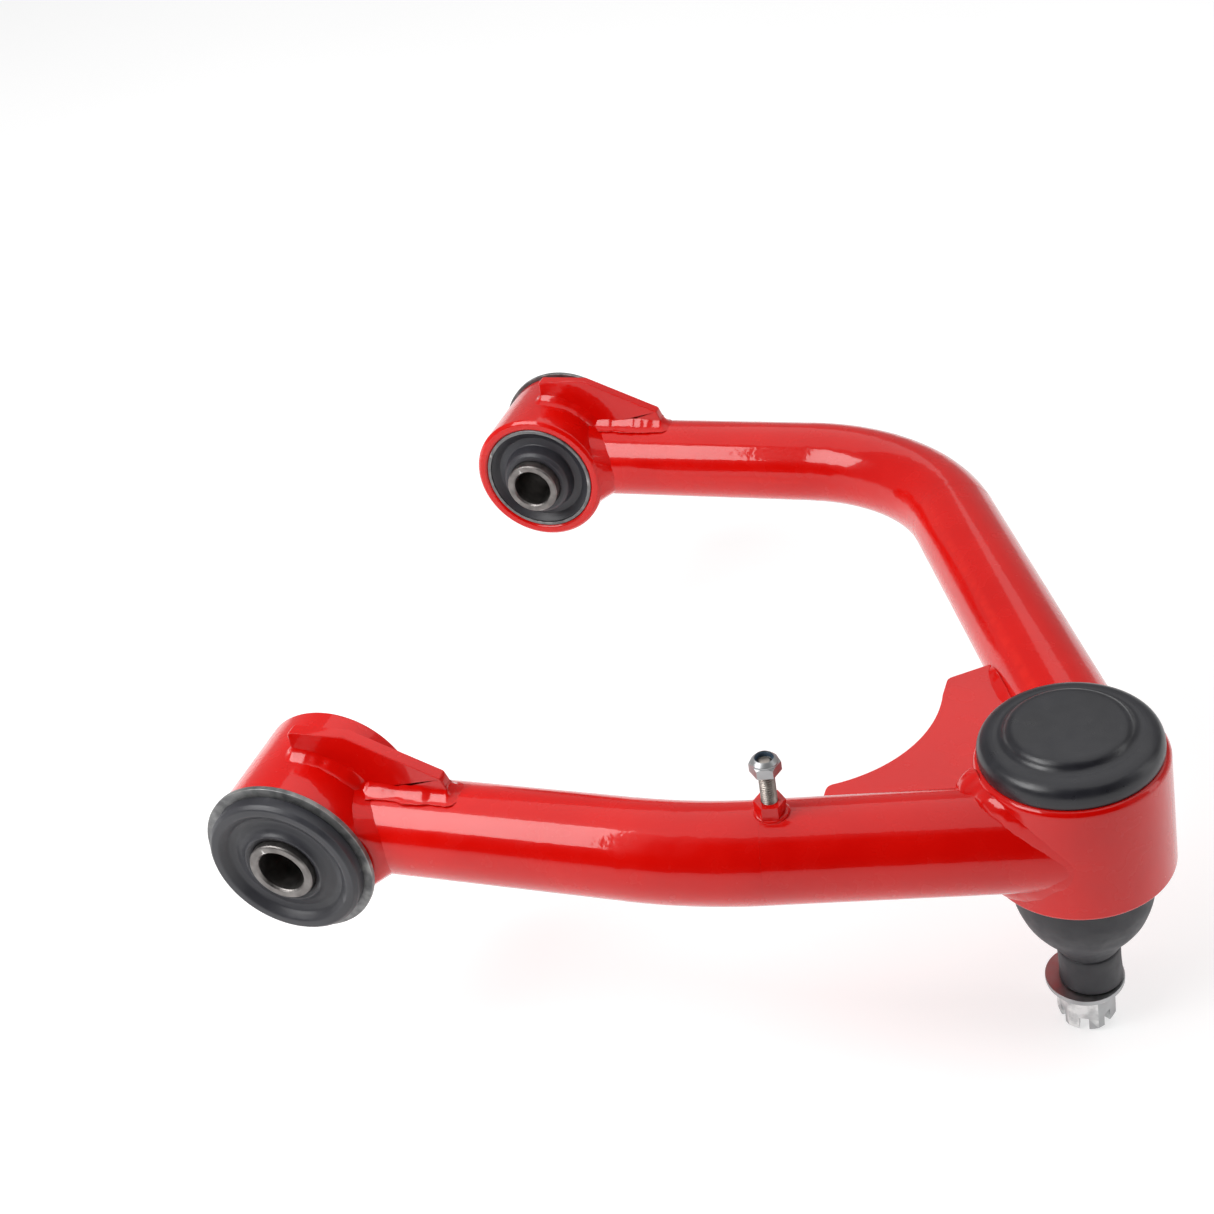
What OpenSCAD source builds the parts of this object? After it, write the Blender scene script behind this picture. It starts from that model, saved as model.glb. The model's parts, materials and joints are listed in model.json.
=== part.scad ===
// Tubular suspension control arm: two bent tube legs join a pair of coaxial rubber pivot
// bushes to a ball joint cup. The stud hangs below the arm.
// Origin: centre of the front bush. +X runs from the pivot axis to the ball joint,
// +Y runs along the pivot axis from the front bush to the rear bush, +Z is up.

/* [Layout] */
// Distance between the two bush centres, along the pivot axis
pivot_span = 281; // [265:1:295]
// Distance from the pivot axis to the ball centre
arm_reach = 284; // [270:1:300]
// Distance of the ball centre from the front bush centre, along the pivot axis
ball_y = 43; // [39:0.5:47]
// Height of the leg tubes' axes above the pivot axis
leg_z = 0.5; // [-1:0.5:2]
// Lean of the ball joint cup's top towards the pivot axis, in degrees
cup_tilt = 4; // [0:0.5:6]
// Lean of the ball stud at rest, out of the cup's axis and back towards plumb, in degrees
stud_lean = 1.7; // [0:0.1:1.8]

/* [Leg tubes] */
// Outside diameter of the leg tube
tube_od = 38.1; // [36:0.1:40]
// Wall of the leg tube
tube_wall = 4; // [3:0.5:5]
// Distance between each leg's axis and the cup's axis
leg_inset = 14.3; // [12:0.1:14.5]
// Where the short leg leaves the front bush, measured along the pivot axis
short_leg_y = -1.5; // [-4:0.5:0]
// Distance from the pivot axis to the corner of the short leg's bend
short_corner_x = 155; // [145:1:160]
// Centreline radius of the short leg's bend
short_bend_r = 215; // [180:5:240]
// Distance from the pivot axis to the corner of the long leg's bend
long_corner_x = 190; // [180:1:195]
// Centreline radius of the long leg's bend
long_bend_r = 84; // [76:1:90]

/* [Bushes] */
// Outside diameter of the bush housing
housing_od = 66; // [64:0.5:68]
// Length of the bush housing
housing_len = 48; // [44:1:52]
// Bore of the bush housing, and outside diameter of the bush shell
shell_od = 55.4; // [54:0.1:56]
// Wall of the bush shell
shell_wall = 1.8; // [1.5:0.1:2]
// Diameter of the bush shell's flange
flange_od = 69; // [67:0.5:71]
// Thickness of the bush shell's flange
flange_t = 2; // [1.5:0.1:2.5]
// Outside diameter of the rubber's outer lip
lip_od = 62; // [58:0.5:64]
// Outside diameter of the inner sleeve
sleeve_od = 26.1; // [25:0.1:27]
// Bore of the inner sleeve
sleeve_bore = 18.5; // [16:0.1:19]
// Length of the inner sleeve
sleeve_len = 67.5; // [66:0.5:70]

/* [Gussets and web] */
// Thickness of the gusset plates
gusset_t = 5; // [4:0.5:6]
// Height of the gusset's flat top above the pivot axis
gusset_top_z = 44; // [40:0.5:47]
// Thickness of the web plate
web_t = 6; // [4:0.5:7]
// Radius of the web plate's hollow free edge
web_arc_r = 60.4; // [58:0.2:62]

/* [Ball joint] */
// Outside diameter of the ball joint cup
cup_od = 67.6; // [67:0.2:69]
// Wall of the ball joint cup
cup_wall = 3.3; // [3:0.1:3.6]
// Height of the cup's rim above the ball centre
cup_top_z = 26.2; // [26:0.2:28]
// Depth of the cup's lower edge under the ball centre
cup_bottom_z = -22.8; // [-24:0.2:-22]
// Diameter of the ball
ball_d = 32; // [31:0.5:32]
// Diameter of the dust cap
cap_d = 64.2; // [63:0.2:65]
// Height of the dust cap above the cup's rim
cap_h = 12.6; // [12:0.2:14]
// Largest diameter of the dust boot
boot_d = 51.6; // [51:0.2:53]
// Diameter of the dust boot's neck
boot_neck_d = 23.4; // [23.4:0.1:24]
// Across flats of the castle nut
castle_af = 19; // [18:0.5:21]
// Nominal diameter of the ball stud's thread
stud_thread_d = 12; // [12:1:12]

/* [Bracket stud] */
// Distance from the short leg's bend corner to the bracket stud
bracket_run = 29; // [28:0.5:36]
// Nominal diameter of the bracket stud's thread
bracket_thread_d = 6; // [6:1:6]
// Height of the lock nut's top above the pivot axis
lock_nut_top_z = 44.5; // [43:0.5:48]

/* [Hidden] */
$fn = 96;
tube_r = tube_od / 2;
housing_r = housing_od / 2;
half_housing = housing_len / 2;
shell_r = shell_od / 2;
rubber_r = shell_r - shell_wall;
flange_r = flange_od / 2;
lip_r = lip_od / 2;
sleeve_r = sleeve_od / 2;
half_sleeve = sleeve_len / 2;
cup_r = cup_od / 2;
cup_bore_r = cup_r - cup_wall;
ball_r = ball_d / 2;
cap_r = cap_d / 2;
// Radial play of the ball in its seats and of the sleeve in its rubber
play = 0.05;
// Edge break on tube ends and plates
edge_break = 1;
// Extra length given to cutting solids
over = 1;

// Ball joint heights, measured from the ball centre along the cup's axis
seat_top_z = 14.5;
seat_bottom_z = -8;
seat_r = 21;
insert_top_z = 23;
insert_bottom_z = -12;
insert_boss_z = -19;
insert_boss_r = 22.5;
spring_top_z = 17;
cover_top_z = 20;
cover_r = 24;
snap_ring_t = 1.7;
snap_ring_r = 25.5;
stud_neck_r = 8;
stud_neck_end_z = -56;
taper_top_r = 8.6;
taper_top_z = -58;
nut_seat_z = -82.5;
taper_end_r = taper_top_r - (taper_top_z - nut_seat_z) / 16;
washer_t = 2;
castle_flange_t = 4;
castle_end_z = nut_seat_z - 21;
slot_w = 3.7;
slot_depth = 6;

// Bracket stud heights, measured from the pivot axis
bracket_base_z = leg_z + tube_r;
weld_nut_top_z = bracket_base_z + 5.6;
lock_nut_h = 6;
bracket_nut_af = 10;
lock_nut_recess_r = 3.4;
lock_nut_recess_h = 2.2;

// Angle of a leg whose axis starts at a corner and passes the cup's axis at leg_inset
function leg_angle(from, side) =
    let (d = [arm_reach, ball_y] - from)
    atan2(d[1], d[0]) + side * asin(leg_inset / norm(d));

short_corner = [short_corner_x, short_leg_y];
long_corner = [long_corner_x, pivot_span];
short_angle = leg_angle(short_corner, -1);
long_angle = leg_angle(long_corner, 1);

// Points of an arc, from one angle to another
function arc(centre, r, from, to, steps = 12) =
    [for (i = [0 : steps]) let (a = from + (to - from) * i / steps) centre + r * [cos(a), sin(a)]];

// ---------------------------------------------------------------- placing

// Ball joint frame: the ball centre, with Z along the cup's axis
module at_ball() {
    translate([arm_reach, ball_y, leg_z]) rotate([0, -cup_tilt, 0]) children();
}

// Stud frame: the ball centre, with Z along the ball stud
module at_stud() {
    translate([arm_reach, ball_y, leg_z]) rotate([0, stud_lean - cup_tilt, 0]) children();
}

// Bush frame: Z runs along the pivot axis, towards the flanged outer end
module at_front_bush() {
    rotate([90, 0, 0]) children();
}

module at_rear_bush() {
    translate([0, pivot_span, 0]) rotate([-90, 0, 0]) children();
}

// ---------------------------------------------------------------- leg tubes

// A round bar along +X that bends at the corner by an angle and then runs on.
// The straights are a shade thinner than the bend and end inside it.
module bent_bar(r, corner, bend_r, angle, run) {
    tangent = bend_r * tan(abs(angle) / 2);
    turn = angle > 0 ? 1 : -1;
    reach_in = 2;
    straight_r = r - 0.05;
    translate([corner[0], corner[1], leg_z]) {
        translate([reach_in - tangent, 0, 0]) rotate([0, -90, 0])
            cylinder(r = straight_r, h = corner[0] - tangent + reach_in);
        translate([-tangent, turn * bend_r, 0])
            rotate([0, 0, turn > 0 ? -90 : 90 + angle])
            rotate_extrude(angle = abs(angle)) translate([bend_r, 0]) circle(r);
        rotate([0, 0, angle]) translate([tangent - reach_in, 0, 0]) rotate([0, 90, 0])
            cylinder(r = straight_r, h = run - tangent + reach_in);
    }
}

// The outer surfaces that the legs and plates are shaped to meet
module housing_envelope(y) {
    translate([0, y, 0]) rotate([90, 0, 0])
        cylinder(r = housing_r, h = housing_len, center = true);
}

module cup_envelope() {
    at_ball() translate([0, 0, -tube_od])
        cylinder(r = cup_r, h = 2 * tube_od);
}

// Length of a leg from its corner to the plane through the cup's axis
function leg_run(corner) =
    sqrt(pow(norm([arm_reach, ball_y] - corner), 2) - pow(leg_inset, 2));

module short_bar(r) {
    bent_bar(r, short_corner, short_bend_r, short_angle, leg_run(short_corner));
}

module long_bar(r) {
    bent_bar(r, long_corner, long_bend_r, long_angle, leg_run(long_corner));
}

module short_leg() {
    color("red") difference() {
        short_bar(tube_r);
        short_bar(tube_r - tube_wall);
        housing_envelope(0);
        cup_envelope();
    }
}

module long_leg() {
    color("red") difference() {
        long_bar(tube_r);
        long_bar(tube_r - tube_wall);
        housing_envelope(pivot_span);
        cup_envelope();
    }
}

// ---------------------------------------------------------------- welded plates and housings

module ball_joint_cup() {
    rim_h = 2.5;
    rim_w = 1.8;
    color("red") at_ball() rotate_extrude() polygon([
        [cup_bore_r, cup_bottom_z],
        [cup_r - edge_break, cup_bottom_z],
        [cup_r, cup_bottom_z + edge_break],
        [cup_r, cup_top_z - rim_h],
        [cup_r - rim_w * 0.15, cup_top_z - rim_h * 0.55],
        [cup_r - rim_w * 0.5, cup_top_z - rim_h * 0.2],
        [cup_r - rim_w, cup_top_z],
        [cup_bore_r, cup_top_z]
    ]);
}

module web_plate() {
    arc_centre = [168, 94];
    short_tail_angle = -61.5;
    long_tail_angle = 5;
    tail_r = 4;
    short_tail = arc_centre + (web_arc_r + tail_r) * [cos(short_tail_angle), sin(short_tail_angle)];
    long_tail = [arc_centre[0] + web_arc_r + tail_r, 108];
    long_tail_end = 128;
    outline = concat(
        [[arm_reach, ball_y], [short_tail[0], short_leg_y]],
        [short_tail - tail_r * [1, 0] - [0, tube_r]],
        arc(short_tail, tail_r, 180, short_tail_angle + 180, 8),
        arc(arc_centre, web_arc_r, short_tail_angle, long_tail_angle, 24),
        arc(long_tail, tail_r, 180, long_tail_end, 8),
        [long_tail + [tube_r, tube_r]]
    );
    color("red") difference() {
        translate([0, 0, leg_z - web_t / 2]) linear_extrude(web_t) polygon(outline);
        short_bar(tube_r);
        long_bar(tube_r);
        cup_envelope();
    }
}

module bush_housing() {
    bevel = 1.5;
    color("red") rotate_extrude() polygon([
        [shell_r, -half_housing + edge_break],
        [shell_r + edge_break, -half_housing],
        [housing_r - bevel, -half_housing],
        [housing_r, -half_housing + bevel],
        [housing_r, half_housing - edge_break],
        [housing_r - edge_break, half_housing],
        [shell_r, half_housing]
    ]);
}

module front_bush_housing() {
    at_front_bush() bush_housing();
}

module rear_bush_housing() {
    at_rear_bush() bush_housing();
}

// Upright plate on top of a housing and its leg, trimmed to both
module gusset(y) {
    flat_len = 24;
    slope_end = [60, 28];
    foot_x = 62;
    color("red") difference() {
        translate([0, y + gusset_t / 2, 0]) rotate([90, 0, 0]) linear_extrude(gusset_t) polygon([
            [0, 0], [foot_x, 0], [foot_x, slope_end[1] - gusset_t],
            slope_end, [flat_len, gusset_top_z], [edge_break, gusset_top_z],
            [0, gusset_top_z - edge_break]
        ]);
        housing_envelope(y);
        translate([0, y, leg_z]) rotate([0, 90, 0]) cylinder(r = tube_r, h = foot_x + over);
    }
}

module front_gusset() {
    gusset(short_leg_y);
}

module rear_gusset() {
    gusset(pivot_span);
}

// ---------------------------------------------------------------- bushes

module bush_shell() {
    lead_in = 0.4;
    shell_end = half_housing - lead_in;
    color("dimgray") rotate_extrude() polygon([
        [rubber_r, -shell_end],
        [shell_r - lead_in, -shell_end],
        [shell_r, -shell_end + lead_in],
        [shell_r, half_housing],
        [flange_r, half_housing],
        [flange_r, half_housing + flange_t],
        [rubber_r, half_housing + flange_t]
    ]);
}

// Rubber bonded in the shell, with a flanged outer face: an outer lip, a dished ring
// and a hub. The sleeve turns in its bore.
module bush_rubber() {
    bore = sleeve_r + play;
    face = half_housing + flange_t;
    lip_z = face + 6.2;
    dish_z = face + 2.6;
    hub_z = face + 5.6;
    hub_r = sleeve_r + 4;
    inner_z = -half_housing;
    hub_end_z = inner_z - 4.5;
    hub_bevel = 1.5;
    color([0.2, 0.2, 0.21]) rotate_extrude() polygon([
        [bore, hub_end_z],
        [hub_r - hub_bevel, hub_end_z],
        [hub_r, hub_end_z + hub_bevel],
        [hub_r + 1, inner_z + 3],
        [rubber_r - 4, inner_z + 4],
        [rubber_r, inner_z + 1],
        [rubber_r, face],
        [lip_r, face],
        [lip_r, lip_z - hub_bevel],
        [lip_r - hub_bevel, lip_z],
        [lip_r - 4.5, lip_z],
        [lip_r - 6, lip_z - 1.2],
        [lip_r - 7.5, dish_z + 0.8],
        [hub_r + 4, dish_z],
        [hub_r + 1, dish_z + 1],
        [hub_r, hub_z - hub_bevel],
        [hub_r - hub_bevel, hub_z],
        [bore, hub_z - 1.2]
    ]);
}

module inner_sleeve() {
    bore_r = sleeve_bore / 2;
    bore_bevel = 0.8;
    rim_bevel = 0.6;
    color("silver") rotate_extrude() polygon([
        [bore_r, -half_sleeve + bore_bevel],
        [bore_r + bore_bevel, -half_sleeve],
        [sleeve_r - rim_bevel, -half_sleeve],
        [sleeve_r, -half_sleeve + rim_bevel],
        [sleeve_r, half_sleeve - rim_bevel],
        [sleeve_r - rim_bevel, half_sleeve],
        [bore_r + bore_bevel, half_sleeve],
        [bore_r, half_sleeve - bore_bevel]
    ]);
}

module front_bush_shell() {
    at_front_bush() bush_shell();
}

module rear_bush_shell() {
    at_rear_bush() bush_shell();
}

module front_bush_rubber() {
    at_front_bush() bush_rubber();
}

module rear_bush_rubber() {
    at_rear_bush() bush_rubber();
}

module front_inner_sleeve() {
    at_front_bush() inner_sleeve();
}

module rear_inner_sleeve() {
    at_rear_bush() inner_sleeve();
}

// ---------------------------------------------------------------- ball joint

// Steel insert pressed into the cup: it holds the seats, the cover and the boot
module joint_insert() {
    ring_groove_r = snap_ring_r + play;
    color("gray") at_ball() rotate_extrude() polygon([
        [seat_r, insert_bottom_z + 4],
        [seat_r, spring_top_z],
        [cover_r, spring_top_z],
        [cover_r, cover_top_z],
        [ring_groove_r, cover_top_z],
        [ring_groove_r, cover_top_z + snap_ring_t],
        [cover_r, cover_top_z + snap_ring_t],
        [cover_r, insert_top_z],
        [cup_bore_r, insert_top_z],
        [cup_bore_r, insert_bottom_z],
        [insert_boss_r, insert_bottom_z],
        [insert_boss_r, insert_boss_z],
        [insert_boss_r - 3.5, insert_boss_z],
        [ball_r - 0.5, insert_bottom_z + 2],
        [ball_r - 0.5, insert_bottom_z + 4]
    ]);
}

module lower_ball_seat() {
    color("ivory") at_ball() difference() {
        translate([0, 0, seat_bottom_z]) cylinder(r = seat_r, h = -seat_bottom_z);
        sphere(ball_r + play);
    }
}

module upper_ball_seat() {
    color("ivory") at_ball() difference() {
        cylinder(r = seat_r, h = seat_top_z);
        sphere(ball_r + play);
    }
}

// Coned disc spring that presses the upper seat onto the ball
module preload_spring() {
    spring_t = 1.5;
    hole_r = 12;
    rim_r = seat_r - 0.5;
    color("slategray") at_ball() rotate_extrude() polygon([
        [hole_r, spring_top_z - spring_t],
        [rim_r, seat_top_z],
        [rim_r, seat_top_z + spring_t],
        [hole_r, spring_top_z]
    ]);
}

module cover_plate() {
    color("gray") at_ball() translate([0, 0, spring_top_z])
        cylinder(r = cover_r, h = cover_top_z - spring_top_z);
}

module snap_ring() {
    gap_w = 9;
    ring_w = 4;
    color("slategray") at_ball() translate([0, 0, cover_top_z]) difference() {
        cylinder(r = snap_ring_r, h = snap_ring_t);
        translate([0, 0, -over]) cylinder(r = snap_ring_r - ring_w, h = snap_ring_t + 2 * over);
        translate([0, -gap_w / 2, -over]) cube([snap_ring_r + over, gap_w, snap_ring_t + 2 * over]);
    }
}

// Moulded cap: a round-shouldered skirt, a shallow ring and a raised centre disc
module dust_cap() {
    top = cup_top_z + cap_h;
    shoulder_z = top - 3.6;
    shoulder_r = 4;
    disc_r = 21.9;
    disc_round = 1.4;
    spigot_r = cover_r + 6;
    skin = 2.6;
    outline = concat(
        [[0, top]],
        arc([disc_r - disc_round, top - disc_round], disc_round, 90, 0, 6),
        [[disc_r, shoulder_z], [disc_r + 1.4, shoulder_z - 0.8]],
        arc([cap_r - shoulder_r, shoulder_z - shoulder_r], shoulder_r, 90, 0, 8),
        [[cap_r, cup_top_z + edge_break], [cap_r - edge_break * 0.6, cup_top_z],
         [spigot_r, cup_top_z], [spigot_r, insert_top_z], [spigot_r - skin, insert_top_z],
         [spigot_r - skin, shoulder_z - skin - 1.2], [0, shoulder_z - skin - 1.2]]
    );
    color([0.22, 0.22, 0.23]) at_ball() rotate_extrude() polygon(outline);
}

module ball_stud() {
    stud_end_z = castle_end_z + 2.5;
    thread_r = stud_thread_d / 2;
    pin_hole_r = 1.75;
    color("silver") at_stud() difference() {
        union() {
            sphere(ball_r);
            translate([0, 0, stud_neck_end_z]) cylinder(r = stud_neck_r, h = -stud_neck_end_z);
            translate([0, 0, taper_top_z])
                cylinder(r1 = taper_top_r, r2 = stud_neck_r, h = stud_neck_end_z - taper_top_z);
            translate([0, 0, nut_seat_z])
                cylinder(r1 = taper_end_r, r2 = taper_top_r, h = taper_top_z - nut_seat_z);
            translate([0, 0, stud_end_z]) cylinder(r = thread_r, h = nut_seat_z - stud_end_z);
        }
        translate([0, 0, castle_end_z + slot_depth / 2]) rotate([90, 0, 0])
            cylinder(r = pin_hole_r, h = stud_thread_d + over, center = true);
        translate([0, 0, ball_r - 2]) cylinder(r = ball_r, h = 2 + over);
    }
}

// Plain boot: a bead on the insert, a skirt, a round shoulder, a cone and a loose neck
module dust_boot() {
    boot_r = boot_d / 2;
    neck_r = boot_neck_d / 2;
    neck_wall = 1.2;
    wall = 2.5;
    bead_r = insert_boss_r + 3;
    bead_top_z = insert_bottom_z - 0.5;
    bead_bottom_z = bead_top_z - 5;
    shoulder_z = -38;
    cone_end_z = -64.5;
    foot_z = nut_seat_z + 0.6;
    color([0.15, 0.15, 0.16]) at_ball() rotate_extrude() polygon([
        [insert_boss_r, bead_top_z],
        [bead_r, bead_top_z],
        [bead_r, bead_top_z - 1.5],
        [bead_r - 1, bead_top_z - 2],
        [bead_r - 1, bead_bottom_z + 1],
        [bead_r, bead_bottom_z + 0.5],
        [bead_r, cup_bottom_z],
        [boot_r, shoulder_z + 4],
        [boot_r - 0.2, shoulder_z],
        [boot_r - 1.5, shoulder_z - 5.5],
        [boot_r - 4.8, shoulder_z - 12.5],
        [boot_r - 9.3, shoulder_z - 19.5],
        [neck_r + 0.4, cone_end_z],
        [neck_r, cone_end_z - 1],
        [neck_r - 0.2, foot_z + 2],
        [neck_r + 0.2, foot_z],
        [neck_r - neck_wall, foot_z],
        [neck_r - neck_wall, cone_end_z],
        [boot_r - 9.3 - wall, shoulder_z - 18.5],
        [boot_r - 4.8 - wall, shoulder_z - 11.5],
        [boot_r - 1.5 - wall, shoulder_z - 4.5],
        [boot_r - wall, shoulder_z + 4],
        [bead_r - wall, cup_bottom_z],
        [insert_boss_r, insert_boss_z]
    ]);
}

// Spring ring in the groove of the boot's bead
module boot_clamp_ring() {
    ring_r = insert_boss_r + 2.65;
    ring_w = 1.2;
    groove_z = insert_bottom_z - 3.5;
    color("silver") at_ball() translate([0, 0, groove_z])
        rotate_extrude() translate([ring_r, 0]) square(ring_w, center = true);
}

module nut_washer() {
    washer_r = 14.8;
    hole_r = stud_thread_d / 2 + 0.3;
    color("silver") at_stud() translate([0, 0, nut_seat_z - washer_t]) difference() {
        cylinder(r = washer_r, h = washer_t - 0.1);
        translate([0, 0, -over]) cylinder(r = hole_r, h = washer_t + 2 * over);
    }
}

module castle_nut() {
    flange_top = nut_seat_z - washer_t;
    hex_r = castle_af / 2 / cos(30);
    hex_h = flange_top - castle_end_z;
    castle_flange_r = 14.2;
    flange_rim = 0.8;
    color("silver") at_stud() difference() {
        union() {
            translate([0, 0, flange_top - flange_rim])
                cylinder(r = castle_flange_r, h = flange_rim);
            translate([0, 0, flange_top - castle_flange_t])
                cylinder(r1 = hex_r, r2 = castle_flange_r, h = castle_flange_t - flange_rim);
            intersection() {
                translate([0, 0, castle_end_z]) cylinder(r = hex_r, h = hex_h, $fn = 6);
                translate([0, 0, castle_end_z])
                    cylinder(r1 = castle_af / 2 - 0.3, r2 = castle_af / 2 - 0.3 + hex_h, h = hex_h);
            }
        }
        translate([0, 0, castle_end_z - over])
            cylinder(r = stud_thread_d / 2, h = flange_top - castle_end_z + 2 * over);
        for (i = [0 : 2]) rotate([0, 0, 30 + 60 * i])
            translate([-castle_af, -slot_w / 2, castle_end_z - over])
            cube([2 * castle_af, slot_w, slot_depth + over]);
    }
}

// ---------------------------------------------------------------- bracket stud

module at_bracket() {
    run = bracket_run * [cos(short_angle), sin(short_angle)];
    translate([short_corner[0] + run[0], short_corner[1] + run[1], 0])
        rotate([0, 0, short_angle]) children();
}

module bracket_weld_nut() {
    across_corners = bracket_nut_af / cos(30);
    color("red") difference() {
        at_bracket() difference() {
            translate([0, 0, bracket_base_z - 2.5])
                cylinder(d = across_corners, h = weld_nut_top_z - bracket_base_z + 2.5, $fn = 6);
            cylinder(d = bracket_thread_d, h = lock_nut_top_z);
        }
        short_bar(tube_r);
    }
}

module bracket_stud() {
    stud_base = bracket_base_z + 0.4;
    stud_top = lock_nut_top_z - 1.4;
    color("gray") at_bracket() translate([0, 0, stud_base])
        cylinder(d = bracket_thread_d, h = stud_top - stud_base);
}

module lock_nut() {
    crown_r = 4.9;
    crown_round = 1.4;
    hex_h = 4;
    half_af = bracket_nut_af / 2;
    base = lock_nut_top_z - lock_nut_h;
    crown_base = lock_nut_top_z - crown_round;
    color("silver") at_bracket() difference() {
        union() {
            intersection() {
                translate([0, 0, base]) cylinder(r = half_af / cos(30), h = hex_h, $fn = 6);
                translate([0, 0, base]) cylinder(r1 = half_af + 3.6, r2 = half_af, h = hex_h + 0.2);
            }
            translate([0, 0, base]) cylinder(r = crown_r, h = crown_base - base);
            translate([0, 0, crown_base])
                cylinder(r1 = crown_r, r2 = crown_r - crown_round, h = crown_round);
        }
        translate([0, 0, base - over]) cylinder(d = bracket_thread_d, h = lock_nut_h + 2 * over);
        translate([0, 0, lock_nut_top_z - lock_nut_recess_h])
            cylinder(r = lock_nut_recess_r, h = lock_nut_recess_h + over);
    }
}

module lock_nut_insert() {
    insert_h = lock_nut_recess_h - 0.4;
    color("steelblue") at_bracket() translate([0, 0, lock_nut_top_z - lock_nut_recess_h])
        difference() {
            cylinder(r = lock_nut_recess_r, h = insert_h);
            translate([0, 0, -over]) cylinder(d = bracket_thread_d, h = insert_h + 2 * over);
        }
}

short_leg();
long_leg();
ball_joint_cup();
web_plate();
front_bush_housing();
rear_bush_housing();
front_gusset();
rear_gusset();
front_bush_shell();
rear_bush_shell();
front_bush_rubber();
rear_bush_rubber();
front_inner_sleeve();
rear_inner_sleeve();
joint_insert();
lower_ball_seat();
upper_ball_seat();
preload_spring();
cover_plate();
snap_ring();
dust_cap();
dust_boot();
boot_clamp_ring();
ball_stud();
nut_washer();
castle_nut();
bracket_weld_nut();
bracket_stud();
lock_nut();
lock_nut_insert();
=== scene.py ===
"""Looks of a red tubular control arm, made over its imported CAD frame.

Units are metres in the frame of the CAD: +X runs from the pivot axis to the ball joint,
+Y along the pivot axis from the front bush to the rear one, and +Z is up.
"""
import json
import math

import bmesh
import bpy
from mathutils import Matrix, Vector, noise


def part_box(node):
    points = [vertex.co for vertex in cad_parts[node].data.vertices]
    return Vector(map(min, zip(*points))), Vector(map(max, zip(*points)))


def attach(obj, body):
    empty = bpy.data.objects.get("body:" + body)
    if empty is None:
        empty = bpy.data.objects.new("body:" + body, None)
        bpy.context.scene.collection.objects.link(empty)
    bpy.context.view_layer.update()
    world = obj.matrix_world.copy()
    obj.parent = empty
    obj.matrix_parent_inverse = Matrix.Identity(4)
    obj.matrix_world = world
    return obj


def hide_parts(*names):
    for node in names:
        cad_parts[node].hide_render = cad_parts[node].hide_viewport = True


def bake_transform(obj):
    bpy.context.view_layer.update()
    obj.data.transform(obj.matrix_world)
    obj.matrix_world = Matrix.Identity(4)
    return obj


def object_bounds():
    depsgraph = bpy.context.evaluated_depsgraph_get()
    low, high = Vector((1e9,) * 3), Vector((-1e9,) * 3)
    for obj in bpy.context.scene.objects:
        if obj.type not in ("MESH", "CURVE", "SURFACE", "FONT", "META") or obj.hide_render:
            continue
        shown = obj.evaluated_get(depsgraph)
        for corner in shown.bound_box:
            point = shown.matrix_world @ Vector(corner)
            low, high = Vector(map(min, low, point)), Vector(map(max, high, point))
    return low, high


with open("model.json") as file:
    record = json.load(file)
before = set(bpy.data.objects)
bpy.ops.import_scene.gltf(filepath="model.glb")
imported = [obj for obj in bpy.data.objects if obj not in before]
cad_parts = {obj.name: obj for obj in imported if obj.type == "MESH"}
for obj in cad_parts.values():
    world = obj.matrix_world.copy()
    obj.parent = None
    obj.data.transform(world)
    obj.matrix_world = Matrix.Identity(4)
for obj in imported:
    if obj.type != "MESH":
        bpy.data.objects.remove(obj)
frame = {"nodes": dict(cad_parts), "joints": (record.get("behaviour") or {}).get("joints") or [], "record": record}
cad_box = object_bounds()
scene = bpy.context.scene

MM = 0.001
X, Y, Z = Vector((1, 0, 0)), Vector((0, 1, 0)), Vector((0, 0, 1))


# ------------------------------------------------------------------ sizes read from the frame

def half_size(node, axis):
    """Half the size of a CAD node along one axis."""
    low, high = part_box(node)
    return (high[axis] - low[axis]) / 2


def middle(node):
    """Centre of a CAD node's box."""
    low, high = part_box(node)
    return (low + high) / 2


joint_at = {joint["name"]: Vector(joint["pos_m"]) for joint in frame["joints"]}
mount_at = {mount["name"]: Vector(mount["pos_m"]) for mount in frame["record"]["mounts"]}

ball = joint_at["ball_swing"]
front_bush = mount_at["front_bush_bore"]
rear_bush = mount_at["rear_bush_bore"]
housing_r = half_size("front_bush_housing", 0)
cup_r = half_size("ball_joint_cup", 1)
tube_r = half_size("short_leg", 2)
leg_z = middle("short_leg").z
short_leg_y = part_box("short_leg")[0].y + tube_r
long_leg_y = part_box("long_leg")[1].y - tube_r
web_half_t = half_size("web_plate", 2)
gusset_half_t = half_size("front_gusset", 1)
gusset_foot_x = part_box("front_gusset")[1].x

# Lean of the cup's top towards the pivot axis, and the cup's own directions
cup_tilt = math.radians(4)
cup_turn = Matrix.Rotation(-cup_tilt, 4, "Y")
cup_axis = (cup_turn @ Z.to_4d()).to_3d()

# Corners of the two legs' bends, and the distance that each leg keeps from the cup's axis
short_corner = Vector((155 * MM, short_leg_y, leg_z))
long_corner = Vector((190 * MM, long_leg_y, leg_z))
leg_inset = 14.3 * MM


def leg_heading(corner, side):
    """Direction of a leg from its corner on, passing the cup's axis on the given side."""
    way = (ball - corner).to_2d()
    angle = math.atan2(way.y, way.x) + side * math.asin(leg_inset / way.length)
    return Vector((math.cos(angle), math.sin(angle), 0))


short_heading = leg_heading(short_corner, -1)
long_heading = leg_heading(long_corner, 1)


# ------------------------------------------------------------------ materials

def graph(name):
    """A new node material, with its node tree and its shader."""
    material = bpy.data.materials.new(name)
    material.use_nodes = True
    tree = material.node_tree
    return material, tree, tree.nodes["Principled BSDF"]


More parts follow.
